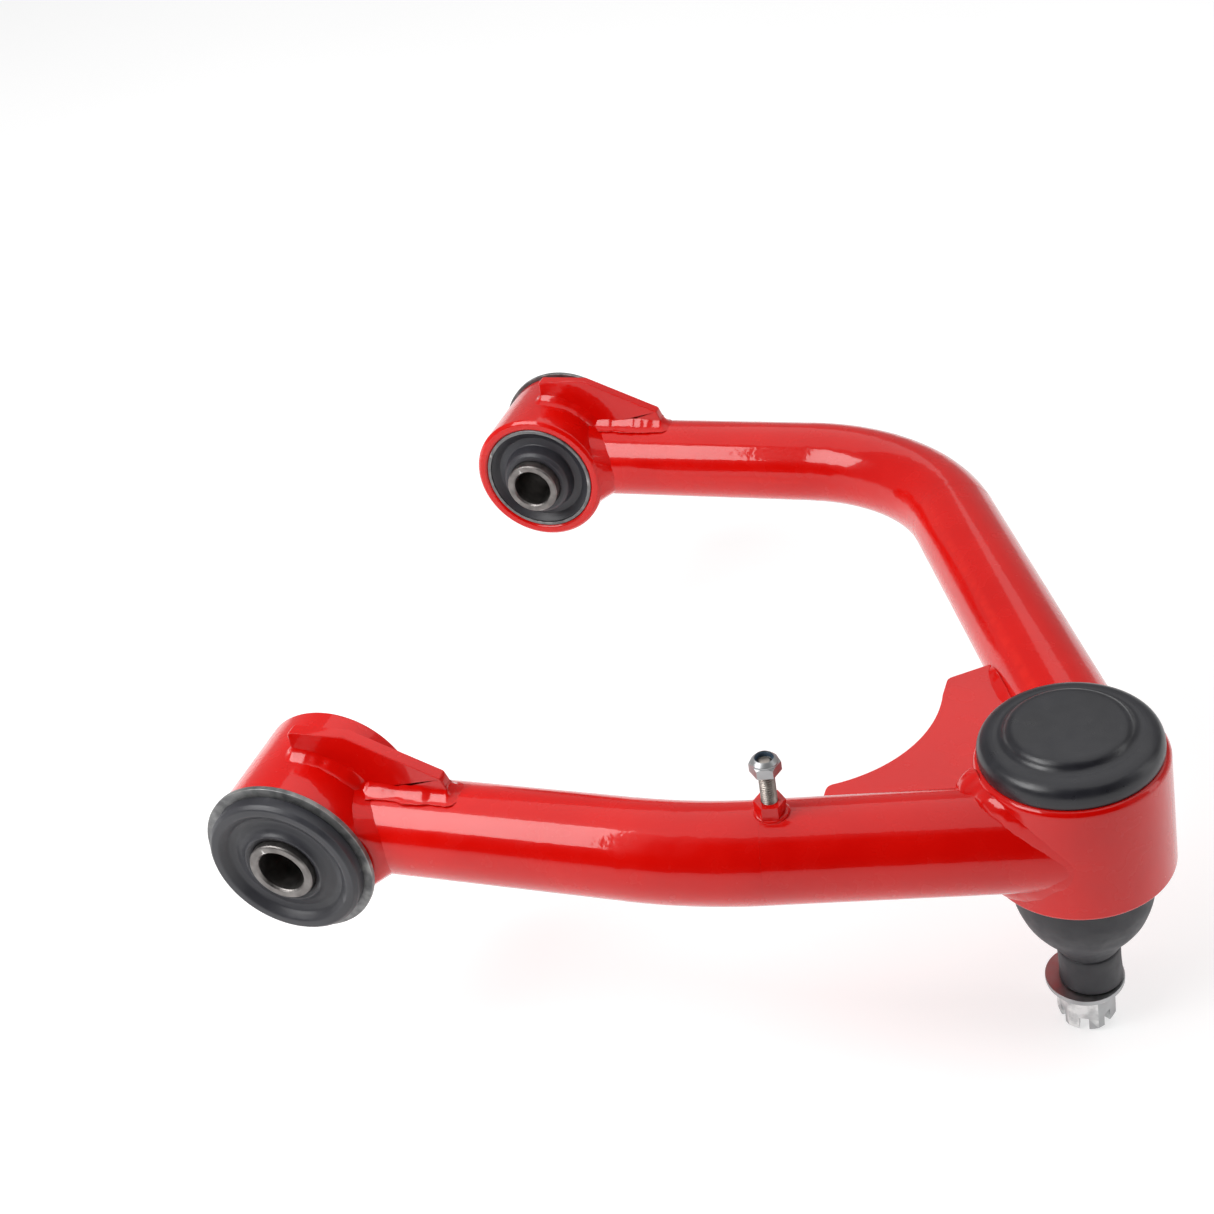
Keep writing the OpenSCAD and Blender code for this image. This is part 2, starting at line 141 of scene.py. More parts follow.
def spot_noise(tree, scale, detail=3.0):
    """Noise in the object's own coordinates, scale patches to the metre."""
    coords = tree.nodes.new("ShaderNodeTexCoord")
    texture = tree.nodes.new("ShaderNodeTexNoise")
    texture.inputs["Scale"].default_value = scale
    texture.inputs["Detail"].default_value = detail
    tree.links.new(coords.outputs["Object"], texture.inputs["Vector"])
    return texture.outputs["Fac"]


def ramp(tree, value, stops):
    """Colours or greys along a value; stops are (position, (r, g, b) or (grey,))."""
    node = tree.nodes.new("ShaderNodeValToRGB")
    while len(node.color_ramp.elements) < len(stops):
        node.color_ramp.elements.new(0.5)
    for element, (position, colour) in zip(node.color_ramp.elements, stops):
        element.position = position
        element.color = (*colour, 1) if len(colour) == 3 else (colour[0],) * 3 + (1,)
    tree.links.new(value, node.inputs["Fac"])
    return node.outputs["Color"]


def rings(tree, centre, across, spacing):
    """Turning marks: a wave over the distance from an axis; across keeps the two axes it spans."""
    coords = tree.nodes.new("ShaderNodeTexCoord")
    shift = tree.nodes.new("ShaderNodeVectorMath")
    shift.operation = "SUBTRACT"
    shift.inputs[1].default_value = centre
    flatten = tree.nodes.new("ShaderNodeVectorMath")
    flatten.operation = "MULTIPLY"
    flatten.inputs[1].default_value = across
    length = tree.nodes.new("ShaderNodeVectorMath")
    length.operation = "LENGTH"
    wave = tree.nodes.new("ShaderNodeMath")
    wave.operation = "MULTIPLY"
    wave.inputs[1].default_value = 2 * math.pi / spacing
    sine = tree.nodes.new("ShaderNodeMath")
    sine.operation = "SINE"
    tree.links.new(coords.outputs["Object"], shift.inputs[0])
    tree.links.new(shift.outputs["Vector"], flatten.inputs[0])
    tree.links.new(flatten.outputs["Vector"], length.inputs[0])
    tree.links.new(length.outputs["Value"], wave.inputs[0])
    tree.links.new(wave.outputs["Value"], sine.inputs[0])
    return sine.outputs["Value"]


def bump(tree, shader, height, distance, strength, below=None):
    """Adds a bump to the shader's normal, over an earlier bump where one is given."""
    node = tree.nodes.new("ShaderNodeBump")
    node.inputs["Distance"].default_value = distance
    node.inputs["Strength"].default_value = strength
    tree.links.new(height, node.inputs["Height"])
    if below:
        tree.links.new(below, node.inputs["Normal"])
    tree.links.new(node.outputs["Normal"], shader.inputs["Normal"])
    if shader.inputs["Coat Weight"].default_value > 0:
        tree.links.new(node.outputs["Normal"], shader.inputs["Coat Normal"])
    return node.outputs["Normal"]


def edge_wear(tree, colour, worn, start, amount):
    """Mixes a worn colour in where the pointiness is over start, broken up by noise."""
    shape = tree.nodes.new("ShaderNodeNewGeometry")
    full = start + 0.06
    patch_scale = 260
    edges = ramp(tree, shape.outputs["Pointiness"], [(start, (0,)), (full, (amount,))])
    patches = ramp(tree, spot_noise(tree, patch_scale), [(0.35, (0.25,)), (0.6, (1,))])
    both = tree.nodes.new("ShaderNodeMath")
    both.operation = "MULTIPLY"
    mix = tree.nodes.new("ShaderNodeMix")
    mix.data_type = "RGBA"
    mix.inputs["B"].default_value = (*worn, 1)
    tree.links.new(edges, both.inputs[0])
    tree.links.new(patches, both.inputs[1])
    tree.links.new(both.outputs["Value"], mix.inputs["Factor"])
    tree.links.new(colour, mix.inputs["A"])
    return mix.outputs["Result"]


def finish_of(name, dark, light, gloss, patch=60, metal=0.0, coat=0.0, worn=None,
              wear=(0.53, 0.8), grain=(1500, 0.02, 0.3), waves=None, turned=None):
    """A finish with patches between two colours, uneven gloss, grain, and worn edges.

    gloss is the least and most roughness, and wear is (start, amount) of the worn edges; grain
    and waves are (scale, height in mm, strength) of bumps; turned is (centre, across, spacing,
    height in mm) of turning marks.
    """
    gloss_patch = patch * 4
    wave_detail = 1.5
    turned_strength = 0.6
    material, tree, shader = graph(name)
    shader.inputs["Metallic"].default_value = metal
    shader.inputs["Coat Weight"].default_value = coat
    shader.inputs["Coat Roughness"].default_value = 0.03
    shader.inputs["Specular IOR Level"].default_value = 0.5 if coat == 0 else 0.15
    colour = ramp(tree, spot_noise(tree, patch), [(0.3, dark), (0.7, light)])
    if worn:
        colour = edge_wear(tree, colour, worn, *wear)
    tree.links.new(colour, shader.inputs["Base Color"])
    rough = ramp(tree, spot_noise(tree, gloss_patch), [(0.3, (gloss[0],)), (0.7, (gloss[1],))])
    tree.links.new(rough, shader.inputs["Roughness"])
    scale, height, strength = grain
    normal = bump(tree, shader, spot_noise(tree, scale), height * MM, strength)
    if waves:
        scale, height, strength = waves
        noise_height = spot_noise(tree, scale, wave_detail)
        normal = bump(tree, shader, noise_height, height * MM, strength, normal)
    if turned:
        centre, across, spacing, height = turned
        marks = rings(tree, centre, across, spacing)
        bump(tree, shader, marks, height * MM, turned_strength, normal)
    return material


# The axes that a distance from a turning axis spans, for turning about Y and about Z
AROUND_Y = (1, 0, 1)
AROUND_Z = (1, 1, 0)

red_paint = finish_of(
    "red_gloss_paint", (0.6, 0.002, 0.0006), (0.68, 0.0032, 0.001), (0.2, 0.3), patch=25,
    coat=0.6, worn=(0.85, 0.02, 0.008), wear=(0.56, 0.35),
    grain=(1100, 0.012, 0.3), waves=(380, 0.08, 0.4))
flange_steel = finish_of(
    "phosphated_flange_steel", (0.07, 0.072, 0.076), (0.15, 0.15, 0.155), (0.35, 0.5),
    patch=160, metal=0.7, worn=(0.55, 0.55, 0.53), wear=(0.505, 1.0), grain=(2200, 0.02, 0.5))
cap_plastic = finish_of(
    "moulded_cap_plastic", (0.011, 0.011, 0.014), (0.018, 0.018, 0.023), (0.27, 0.38), patch=50,
    grain=(2600, 0.02, 0.35), waves=(150, 0.08, 0.2),
    turned=(ball, AROUND_Z, 0.9 * MM, 0.004))
boot_rubber = finish_of(
    "boot_rubber", (0.018, 0.018, 0.022), (0.032, 0.032, 0.039), (0.42, 0.6), patch=45,
    worn=(0.09, 0.09, 0.095), wear=(0.54, 0.5), grain=(1900, 0.03, 0.4), waves=(220, 0.1, 0.2))
bright_zinc = finish_of(
    "bright_zinc_plate", (0.35, 0.355, 0.36), (0.45, 0.455, 0.46), (0.34, 0.5), patch=110,
    metal=1.0, worn=(0.95, 0.95, 0.94), wear=(0.53, 0.7), grain=(1600, 0.012, 0.35))
stud_steel = finish_of(
    "ground_stud_steel", (0.5, 0.5, 0.48), (0.72, 0.71, 0.69), (0.2, 0.32), patch=90,
    metal=1.0, worn=(0.85, 0.84, 0.8), grain=(1500, 0.01, 0.3))
thread_steel = finish_of(
    "dull_thread_steel", (0.24, 0.21, 0.19), (0.46, 0.42, 0.38), (0.34, 0.5), patch=240,
    metal=0.85, worn=(0.55, 0.52, 0.48), grain=(2600, 0.02, 0.5))
spring_steel = finish_of(
    "oiled_spring_steel", (0.16, 0.165, 0.175), (0.3, 0.3, 0.31), (0.25, 0.4), patch=120,
    metal=1.0, worn=(0.6, 0.6, 0.6), grain=(1800, 0.01, 0.3))
insert_steel = finish_of(
    "turned_insert_steel", (0.24, 0.24, 0.245), (0.4, 0.4, 0.4), (0.25, 0.4), patch=100,
    metal=1.0, worn=(0.7, 0.7, 0.68), turned=(ball, AROUND_Z, 0.5 * MM, 0.01))
seat_plastic = finish_of(
    "seat_plastic", (0.68, 0.64, 0.54), (0.8, 0.77, 0.68), (0.3, 0.45), patch=70,
    grain=(1500, 0.01, 0.3))
blue_nylon = finish_of(
    "steel_blue_nylon", (0.03, 0.055, 0.09), (0.07, 0.11, 0.16), (0.35, 0.5), patch=400,
    grain=(3000, 0.015, 0.4))

finish_for = {
    "short_leg": red_paint, "long_leg": red_paint,
    "ball_joint_cup": red_paint, "web_plate": red_paint, "bracket_weld_nut": red_paint,
    "joint_insert": insert_steel, "cover_plate": insert_steel,
    "lower_ball_seat": seat_plastic, "upper_ball_seat": seat_plastic,
    "preload_spring": spring_steel, "snap_ring": spring_steel, "boot_clamp_ring": spring_steel,
    "dust_cap": cap_plastic, "dust_boot": boot_rubber, "ball_stud": stud_steel,
    "nut_washer": bright_zinc, "castle_nut": bright_zinc, "lock_nut": bright_zinc,
    "bracket_stud": thread_steel, "lock_nut_insert": blue_nylon,
}
for end, bush_centre in (("front", front_bush), ("rear", rear_bush)):
    finish_for[end + "_bush_housing"] = red_paint
    finish_for[end + "_gusset"] = red_paint
    finish_for[end + "_bush_shell"] = flange_steel
    finish_for[end + "_bush_rubber"] = finish_of(
        end + "_bush_rubber", (0.021, 0.021, 0.026), (0.035, 0.035, 0.042), (0.36, 0.48),
        patch=40, worn=(0.12, 0.12, 0.13), wear=(0.53, 0.45), grain=(2100, 0.025, 0.35),
        waves=(130, 0.12, 0.25), turned=(bush_centre, AROUND_Y, 1.7 * MM, 0.012))
    finish_for[end + "_inner_sleeve"] = finish_of(
        end + "_turned_sleeve_steel", (0.14, 0.13, 0.125), (0.26, 0.245, 0.235), (0.34, 0.5),
        patch=210, metal=1.0, worn=(0.8, 0.79, 0.77), wear=(0.52, 0.9), grain=(1700, 0.02, 0.5),
        turned=(bush_centre, AROUND_Y, 0.45 * MM, 0.02))

# Width of the rounding on each CAD node's edges, in mm; the others get the smallest one
SMALLEST_ROUNDING = 0.2
edge_rounding = {"web_plate": 0.8, "ball_joint_cup": 0.5, "bracket_weld_nut": 0.5,
                 "lock_nut": 0.45, "dust_cap": 0.4, "castle_nut": 0.4}
for end in ("front", "rear"):
    edge_rounding[end + "_gusset"] = 0.9
    edge_rounding[end + "_bush_housing"] = 0.5
    edge_rounding[end + "_bush_rubber"] = 0.5


def round_edges(obj, width, angle=28):
    """Joins the split vertices, rounds the sharp edges and shades the faces smoothly."""
    joined = obj.modifiers.new("join_faces", "WELD")
    joined.merge_threshold = 0.002 * MM
    bevel = obj.modifiers.new("rounded_edges", "BEVEL")
    bevel.width = width * MM
    bevel.segments = 3
    bevel.limit_method = "ANGLE"
    bevel.angle_limit = math.radians(angle)
    shading = obj.modifiers.new("even_shading", "WEIGHTED_NORMAL")
    shading.weight = 80


for name, obj in frame["nodes"].items():
    obj.data.materials.clear()
    obj.data.materials.append(finish_for[name])
    round_edges(obj, edge_rounding.get(name, SMALLEST_ROUNDING))


# ------------------------------------------------------------------ mesh helpers

def mesh_piece(name, rows, material, closed_rows=True, closed_ring=True):
    """A smooth mesh skinned over rows of points, all of one length.

    closed_rows joins the last row to the first, and closed_ring each row's end to its start.
    Rings that aren't joined end to end get a cap at both ends.
    """
    count = len(rows[0])
    points = [tuple(point) for row in rows for point in row]
    faces = []
    for r in range(len(rows) if closed_rows else len(rows) - 1):
        here = r * count
        there = (r + 1) % len(rows) * count
        for c in range(count if closed_ring else count - 1):
            beside = (c + 1) % count
            faces.append((here + c, here + beside, there + beside, there + c))
    if not closed_rows and closed_ring:
        faces.append(tuple(reversed(range(count))))
        faces.append(tuple((len(rows) - 1) * count + c for c in range(count)))
    mesh = bpy.data.meshes.new(name)
    mesh.from_pydata(points, [], faces)
    shape = bmesh.new()
    shape.from_mesh(mesh)
    bmesh.ops.remove_doubles(shape, verts=shape.verts, dist=0.001 * MM)
    bmesh.ops.recalc_face_normals(shape, faces=shape.faces)
    for face in shape.faces:
        face.smooth = True
    shape.to_mesh(mesh)
    shape.free()
    mesh.materials.append(material)
    obj = bpy.data.objects.new(name, mesh)
    scene.collection.objects.link(obj)
    return obj


def turned_piece(name, profile, centre, turn, material, steps=96, closed_ring=True):
    """A surface of revolution of (radius, height) points, turned and set on its centre."""
    rows = []
    for s in range(steps):
        angle = 2 * math.pi * s / steps
        spin = Vector((math.cos(angle), math.sin(angle), 0))
        rows.append([centre + (turn @ (r * spin + h * Z).to_4d()).to_3d() for r, h in profile])
    return mesh_piece(name, rows, material, closed_ring=closed_ring)


def smooth_line(points, steps=5):
    """A Catmull-Rom line through points, with steps pieces to each span."""
    line = []
    for i in range(len(points) - 1):
        before, start = points[max(i - 1, 0)], points[i]
        end, after = points[i + 1], points[min(i + 2, len(points) - 1)]
        for s in range(steps):
            t = s / steps
            line.append(tuple(
                0.5 * (2 * q + (r - p) * t + (2 * p - 5 * q + 4 * r - w) * t ** 2
                       + (3 * q - p - 3 * r + w) * t ** 3)
                for p, q, r, w in zip(before, start, end, after)))
    line.append(points[-1])
    return line


# ------------------------------------------------------------------ weld beads

# How deep a bead's edges go under the surfaces, and the pieces that its face is made of
WELD_SINK = 0.4 * MM
WELD_STEPS = 8

# Lumps to the metre: the bead's wide ones and fine ones, and how often its crown changes
WIDE_LUMPS = 110
FINE_LUMPS = 300
CROWN_LUMPS = 120


def weld(name, stations, leg, closed=True, swell=None, crown=2.1, lumps=0.25):
    """A painted fillet weld along stations of (corner, way up one part, way up the other).

    leg is the length of the fillet's sides in mm and swell(place) scales it along the seam;
    crown is 1 for a round bead, 2 for a flat face and more for a hollow one; lumps is how
    uneven the bead is. It is thinner where the two parts open wide and at a seam's ends.
    """
    rows = []
    for i, (corner, up, along) in enumerate(stations):
        wide_lump = noise.noise(corner * WIDE_LUMPS)
        fine_lump = noise.noise(corner * FINE_LUMPS)
        lump = (wide_lump + 0.5 * fine_lump) * lumps
        side = leg * MM * (1 + lump) * (swell(i / len(stations)) if swell else 1)
        side *= min(1, 1.15 + up.dot(along))
        if not closed:
            from_end = min(i, len(stations) - 1 - i)
            side *= min(1, 0.35 + 0.16 * from_end)
        bulge = crown + 2 * lumps * noise.noise(corner * CROWN_LUMPS)
        row = [corner - (up + along) * side * 0.25]
        for step in range(WELD_STEPS + 1):
            angle = math.pi / 2 * step / WELD_STEPS
            a = math.cos(angle) ** bulge
            b = math.sin(angle) ** bulge
            row.append(corner + up * (side * a - WELD_SINK * (1 - a))
                       + along * (side * b - WELD_SINK * (1 - b)))
        rows.append(row)
    obj = mesh_piece(name, rows, red_paint, closed_rows=closed)
    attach(obj, "arm")


def along_surface(way, normal):
    """way, laid flat on the surface with that normal."""
    return (way - way.dot(normal) * normal).normalized()


def housing_seam(leg_y, housing, leg, steps=150):
    """Where a leg meets its bush housing; a fillet of leg mm stops short of the housing's ends."""
    end_margin = 1 * MM
    low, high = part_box(housing)
    stations = []
    for s in range(steps):
        angle = 2 * math.pi * s / steps
        out = Vector((0, math.cos(angle), math.sin(angle)))
        corner = Vector((0, leg_y, leg_z)) + tube_r * out
        corner.x = math.sqrt(housing_r ** 2 - corner.z ** 2)
        normal = Vector((corner.x, 0, corner.z)).normalized()
        along = along_surface(out, normal)
        room = min(high.y - corner.y, corner.y - low.y) - end_margin
        reach = abs(along.y) * leg * MM
        if reach > room:
            along *= room / reach
        stations.append((corner, X.copy(), along))
    return stations


def cup_seam(corner, heading, steps=150):
    """Where a leg meets the ball joint cup."""
    left = Z.cross(heading)
    stations = []
    for s in range(steps):
        angle = 2 * math.pi * s / steps
        out = math.cos(angle) * left + math.sin(angle) * Z
        start = corner + tube_r * out
        lean = cup_axis.to_2d() / cup_axis.z * (start.z - ball.z)
        to_axis = ball.to_2d() + lean - start.to_2d()
        reach = to_axis.dot(heading.to_2d())
        miss = to_axis.length_squared - reach ** 2
        point = start + heading * (reach - math.sqrt(max(cup_r ** 2 - miss, 0)))
        normal = Vector((*(point.to_2d() - ball.to_2d() - lean), 0)).normalized()
        stations.append((point, -heading, along_surface(out, normal)))
    return stations


def gusset_seam(leg_y, step=1 * MM):
    """Round a gusset's foot: over the housing, along the leg and round both ends."""
    tube_top = leg_z + math.sqrt(tube_r ** 2 - gusset_half_t ** 2)
    ease = 8 * MM
    end_steps = 6

    def foot(x):
        """Height of the surface under the gusset and the way up from it, eased where they meet."""
        on_housing = math.sqrt(max(housing_r ** 2 - x ** 2, 0))
        share = min(1, max(0, 0.5 + (on_housing - tube_top) / ease))
        normal = Vector((x, 0, on_housing)).normalized()
        return max(on_housing, tube_top), (share * normal + (1 - share) * Z).normalized()

    count = int(gusset_foot_x / step)
    stations = []
    for side in (-1, 1):
        xs = [gusset_foot_x * i / count for i in range(count + 1)]
        if side < 0:
            xs.reverse()
        for x in xs:
            height, up = foot(x)
            corner = Vector((x, leg_y + side * gusset_half_t, height))
            stations.append((corner, up, side * Y))
        end_x = xs[-1]
        outward = X if side > 0 else -X
        height, up = foot(end_x)
        for i in range(1, end_steps):
            turn = math.pi * i / end_steps
            way = side * math.cos(turn) * Y + math.sin(turn) * outward
            corner = Vector((end_x, leg_y + side * math.cos(turn) * gusset_half_t, height))
            stations.append((corner, up, way))
    return stations


def leg_seam(corner, heading, side, face, start, end, step=1 * MM):
    """Along a leg where the web plate's upper (face 1) or lower (face -1) side meets it."""
    across = side * Z.cross(heading)
    out = math.sqrt(tube_r ** 2 - web_half_t ** 2)
    count = int((end - start) / step)
    stations = []
    for i in range(count + 1):
        way_along = start + (end - start) * i / count
        point = corner + heading * way_along + across * out + face * web_half_t * Z
        stations.append((point, across, face * Z))
    return stations


def plate_cup_seam(from_angle, to_angle, face, steps=40):
    """Round the cup between the two legs, on one side of the web plate."""
    stations = []
    for i in range(steps + 1):
        angle = from_angle + (to_angle - from_angle) * i / steps
        out = Vector((math.cos(angle), math.sin(angle), 0))
        corner = Vector((ball.x, ball.y, leg_z)) + out * cup_r + face * web_half_t * Z
        stations.append((corner, out, face * Z))
    return stations


def swell_at(place, width, amount):
    """A swell round one place of a seam, where 0 is its start and 1 its end."""
    return lambda t: 1 + amount * math.exp(-((t - place) / width) ** 2)


# Lengths of the fillets' sides, in mm
HOUSING_LEG = 6.2
GUSSET_LEG = 5
CUP_LEG = 3.8
WEB_LEG = 3.2
NUT_LEG = 0.7

bush_ends = (("front", short_leg_y), ("rear", long_leg_y))
for end, leg_y in bush_ends:
    seam = housing_seam(leg_y, end + "_bush_housing", HOUSING_LEG)
    weld(end + "_leg_weld", seam, HOUSING_LEG, lumps=0.12)
for end, leg_y in bush_ends:
    weld(end + "_gusset_weld", gusset_seam(leg_y), GUSSET_LEG, crown=2.9)

# Each leg's corner and heading, the side that the web plate is on, where along the cup's seam
# the bead swells, and how far past the corner the web plate's seam starts, past the plate's tail
past_tail = 6 * MM
short_seam_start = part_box("web_plate")[0].x - short_corner.x + past_tail
long_seam_start = 170 * MM
legs = (
    ("short", short_corner, short_heading, 1, 0.14, short_seam_start),
    ("long", long_corner, long_heading, -1, 0.36, long_seam_start),
)
for leg_name, corner, heading, side, swell_place, seam_start in legs:
    weld(leg_name + "_leg_cup_weld", cup_seam(corner, heading), CUP_LEG,
         swell=swell_at(swell_place, 0.09, 0.7), crown=1.5, lumps=0.45)

seam_offset = math.sqrt(tube_r ** 2 - web_half_t ** 2) - leg_inset
cup_reach = math.sqrt(cup_r ** 2 - seam_offset ** 2)
past_axis = math.asin(seam_offset / cup_r)
past_cup = 1 * MM
for side_name, face in (("upper", 1), ("lower", -1)):
    cup_angles = []
    for leg_name, corner, heading, side, swell_place, seam_start in legs:
        run = (ball - corner).dot(heading) - cup_reach
        seam = leg_seam(corner, heading, side, face, seam_start, run + past_cup)
        weld(f"{side_name}_web_{leg_name}_leg_weld", seam, WEB_LEG, closed=False)
        cup_angles.append(math.atan2(heading.y, heading.x) + math.pi - side * past_axis)
    weld(f"{side_name}_web_cup_weld", plate_cup_seam(*cup_angles, face), WEB_LEG, closed=False)


def nut_ring(steps=60):
    """Round the foot of the bracket's weld nut, on top of the short leg."""
    centre = mount_at["bracket_stud_thread"]
    under_nut = 0.4 * MM
    ring_r = half_size("bracket_weld_nut", 0) - under_nut
    left = Z.cross(short_heading)
    stations = []
    for s in range(steps):
        angle = 2 * math.pi * s / steps
        out = math.cos(angle) * short_heading + math.sin(angle) * left
        off_axis = (centre + ring_r * out - short_corner).dot(left)
        height = leg_z + math.sqrt(tube_r ** 2 - off_axis ** 2)
        corner = Vector((*(centre + ring_r * out).to_2d(), height))
        normal = (off_axis * left + (height - leg_z) * Z).normalized()
        stations.append((corner, along_surface(out, normal), Z.copy()))
    return stations


weld("bracket_nut_weld", nut_ring(), NUT_LEG, crown=0.9, lumps=0.6,
     swell=lambda place: 1 + 1.2 * abs(math.cos(2 * math.pi * place)) ** 3)


# ------------------------------------------------------------------ dust cap and dust boot

# Heights of the cap and the boot are along the cup's axis, from the ball
cap_r = half_size("dust_cap", 1)
cap_seat = 26.2 * MM
cap_spigot_r = 30 * MM
cap_spigot_wall = 2.6 * MM
cap_spigot_foot = cap_seat - 3.2 * MM
cap_underside = cap_seat + 5 * MM

cap_outside = smooth_line([
    (0, cap_seat + 12.6 * MM),
    (10 * MM, cap_seat + 12.57 * MM),
    (17 * MM, cap_seat + 12.5 * MM),
    (19.7 * MM, cap_seat + 12.25 * MM),
    (21.3 * MM, cap_seat + 11.3 * MM),
    (22.4 * MM, cap_seat + 9.9 * MM),
    (23.9 * MM, cap_seat + 9.05 * MM),
    (26 * MM, cap_seat + 8.95 * MM),
    (28.3 * MM, cap_seat + 8.5 * MM),
    (30.4 * MM, cap_seat + 7.2 * MM),
    (cap_r - 0.45 * MM, cap_seat + 5.1 * MM),
    (cap_r, cap_seat + 2.8 * MM),
    (cap_r - 0.1 * MM, cap_seat + 0.7 * MM),
    (cap_r - 0.5 * MM, cap_seat),
])
cap_inside = [
    (cap_spigot_r, cap_seat),
    (cap_spigot_r, cap_spigot_foot),
    (cap_spigot_r - cap_spigot_wall, cap_spigot_foot),
    (cap_spigot_r - cap_spigot_wall, cap_underside),
    (0, cap_underside),
]
cap = turned_piece("moulded_dust_cap", cap_outside + cap_inside, ball, cup_turn, cap_plastic,
                   steps=128, closed_ring=False)
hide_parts("dust_cap")
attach(cap, "arm")

boot_r = half_size("dust_boot", 1)
neck_r = 0.4535 * boot_r
cup_mouth = -22.8 * MM
boot_foot = -81.9 * MM
cone_end = -64.5 * MM
boot_wall = 2.4 * MM
neck_wall = 1.2 * MM

bowl = smooth_line([
    (boot_r - 0.6 * MM, cup_mouth + 6 * MM),
    (boot_r - 0.4 * MM, cup_mouth),
    (boot_r - 0.1 * MM, cup_mouth - 6 * MM),
    (boot_r, cup_mouth - 11 * MM),
    (boot_r - 0.3 * MM, cup_mouth - 15.5 * MM),
    (boot_r - 1.5 * MM, cup_mouth - 20.5 * MM),
    (boot_r - 3.6 * MM, cup_mouth - 26 * MM),
    (boot_r - 6.4 * MM, cup_mouth - 30.6 * MM),
])
cone = smooth_line([
    (boot_r - 7.1 * MM, cup_mouth - 31 * MM),
    (boot_r - 10.6 * MM, cup_mouth - 36.4 * MM),
    (neck_r + 0.9 * MM, cone_end + 1 * MM),
])
neck = smooth_line([
    (neck_r + 0.2 * MM, cone_end - 0.2 * MM),
    (neck_r - 0.5 * MM, cone_end - 1.3 * MM),
    (neck_r, cone_end - 2.6 * MM),
    (neck_r - 0.1 * MM, cone_end - 9 * MM),
    (neck_r + 0.1 * MM, boot_foot + 2 * MM),
    (neck_r + 0.2 * MM, boot_foot + 0.4 * MM),
    (neck_r - 0.2 * MM, boot_foot),
])
inside = [(neck_r - neck_wall, boot_foot), (neck_r - neck_wall, cone_end)]
inside += [(r - boot_wall, h + 1 * MM) for r, h in reversed(bowl[::5][:-1])]
boot_profile = bowl + cone + neck + inside

boot = turned_piece("rubber_boot", boot_profile, ball, cup_turn, boot_rubber, steps=120)
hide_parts("dust_boot")
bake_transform(boot)


# ------------------------------------------------------------------ bracket stud's thread

def threaded_bar(name, node, pitch, depth, material, around=40, to_pitch=8):
    """A bar with a helical thread, over the height of an upright CAD stud."""
    low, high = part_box(node)
    centre = (low + high) / 2
    crest = (high.x - low.x) / 2
    count = int((high.z - low.z) / pitch * to_pitch)
    taper_run = 1.2 * MM
    taper_depth = 1.1 * MM
    rows = []
    for i in range(count + 1):
        height = low.z + (high.z - low.z) * i / count
        end_taper = max(0, 1 - (high.z - height) / taper_run) * taper_depth
        row = []
        for s in range(around):
            turn = s / around
            phase = ((height - low.z) / pitch - turn) % 1
            groove = depth * (1 - abs(2 * phase - 1)) ** 1.3
            radius = min(crest - groove, crest - end_taper)
            angle = 2 * math.pi * turn
            row.append(Vector((centre.x + radius * math.cos(angle),
                               centre.y + radius * math.sin(angle), height)))
        rows.append(row)
    obj = mesh_piece(name, rows, material, closed_rows=False)
    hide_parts(node)
    return obj


bracket_thread = threaded_bar("threaded_bracket_stud", "bracket_stud", pitch=1 * MM,
                              depth=0.6 * MM, material=thread_steel)
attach(bracket_thread, "arm")


# ------------------------------------------------------------------ floor, light and camera

def floor():
    """A plain pale floor under the lowest point of the object."""
    half_side = 6
    low_z = cad_box[0].z
    corners = [(x * half_side, y * half_side, low_z) for x, y in ((-1, -1), (1, -1), (1, 1), (-1, 1))]
    mesh = bpy.data.meshes.new("floor")
    mesh.from_pydata(corners, [], [(0, 1, 2, 3)])
    material, tree, shader = graph("pale_floor")
    shader.inputs["Roughness"].default_value = 0.9
    shader.inputs["Specular IOR Level"].default_value = 0.1
    shader.inputs["Emission Color"].default_value = (1, 1, 1, 1)
    shader.inputs["Emission Strength"].default_value = 0.63
    colour = ramp(tree, spot_noise(tree, 2), [(0.3, (0.5,)), (0.7, (0.52,))])
    tree.links.new(colour, shader.inputs["Base Color"])
    mesh.materials.append(material)
    obj = bpy.data.objects.new("floor", mesh)
    scene.collection.objects.link(obj)


def softbox(name, way, distance, size, power, aim=(0.14, 0.14, 0)):
    """A rectangular light some distance from the point that it is aimed at, facing it."""
    data = bpy.data.lights.new(name, "AREA")
    data.shape = "RECTANGLE"
    data.size, data.size_y = size
    data.energy = power
    obj = bpy.data.objects.new(name, data)
    obj.location = Vector(aim) + Vector(way).normalized() * distance
    obj.rotation_euler = (Vector(aim) - obj.location).to_track_quat("-Z", "Y").to_euler()
    scene.collection.objects.link(obj)


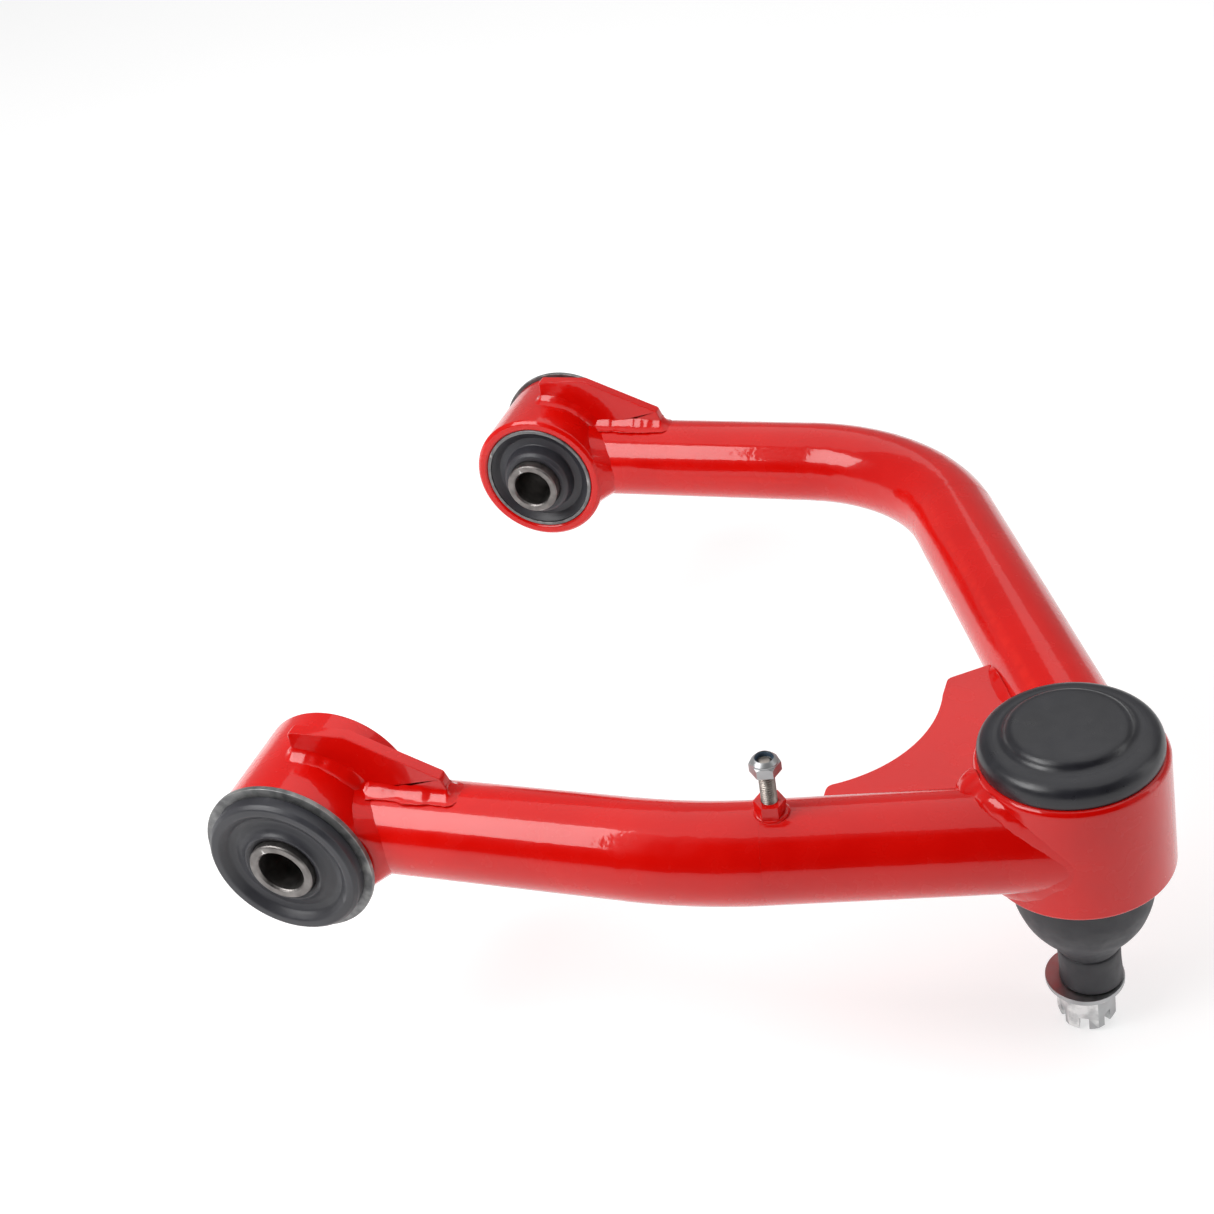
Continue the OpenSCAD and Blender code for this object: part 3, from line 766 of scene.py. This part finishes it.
def studio_world():
    """Pale light from all round, with a dark patch in front; plain pale to look at."""
    dark_way = Vector((0.1, -0.95, 0.25))
    world = bpy.data.worlds.new("studio")
    world.use_nodes = True
    tree = world.node_tree
    background = tree.nodes["Background"]
    coords = tree.nodes.new("ShaderNodeTexCoord")
    toward = tree.nodes.new("ShaderNodeVectorMath")
    toward.operation = "DOT_PRODUCT"
    toward.inputs[1].default_value = dark_way.normalized()
    tree.links.new(coords.outputs["Generated"], toward.inputs[0])
    grey = ramp(tree, toward.outputs["Value"],
                [(0.0, (0.75,)), (0.5, (0.6,)), (0.7, (0.03,)), (1.0, (0.02,))])
    tree.links.new(grey, background.inputs["Color"])
    background.inputs["Strength"].default_value = 0.45
    backdrop = tree.nodes.new("ShaderNodeBackground")
    backdrop.inputs["Color"].default_value = (0.9, 0.9, 0.9, 1)
    ray = tree.nodes.new("ShaderNodeLightPath")
    seen = tree.nodes.new("ShaderNodeMixShader")
    tree.links.new(ray.outputs["Is Camera Ray"], seen.inputs["Fac"])
    tree.links.new(background.outputs["Background"], seen.inputs[1])
    tree.links.new(backdrop.outputs["Background"], seen.inputs[2])
    tree.links.new(seen.outputs["Shader"], tree.nodes["World Output"].inputs["Surface"])
    scene.world = world


floor()
studio_world()
softbox("left_light", (0, -0.63, 0.78), 1.09, (0.8, 0.8), 15, aim=(-0.6, 0.22, 0))
softbox("top_light", (0.1, 0.3, 1), 3.2, (4.5, 4.5), 55)
softbox("side_light", (1, 0.1, 0.35), 1.8, (0.5, 1.4), 4)

# Camera: where it stands, the point on the pivot plane it looks at, and its roll
camera_data = bpy.data.cameras.new("camera")
camera_data.sensor_width = 36
camera_data.lens = 51.46
camera = bpy.data.objects.new("camera", camera_data)
stand = Vector((0.3304, -0.4402, 0.4247))
look_at = Vector((0.0716, 0.1500, 0.0))
roll = math.radians(-10.28)
aim_turn = (look_at - stand).to_track_quat("-Z", "Y").to_matrix().to_4x4()
camera.matrix_world = Matrix.Translation(stand) @ aim_turn @ Matrix.Rotation(roll, 4, "Z")
scene.collection.objects.link(camera)
scene.camera = camera
scene.view_settings.view_transform = "Standard"
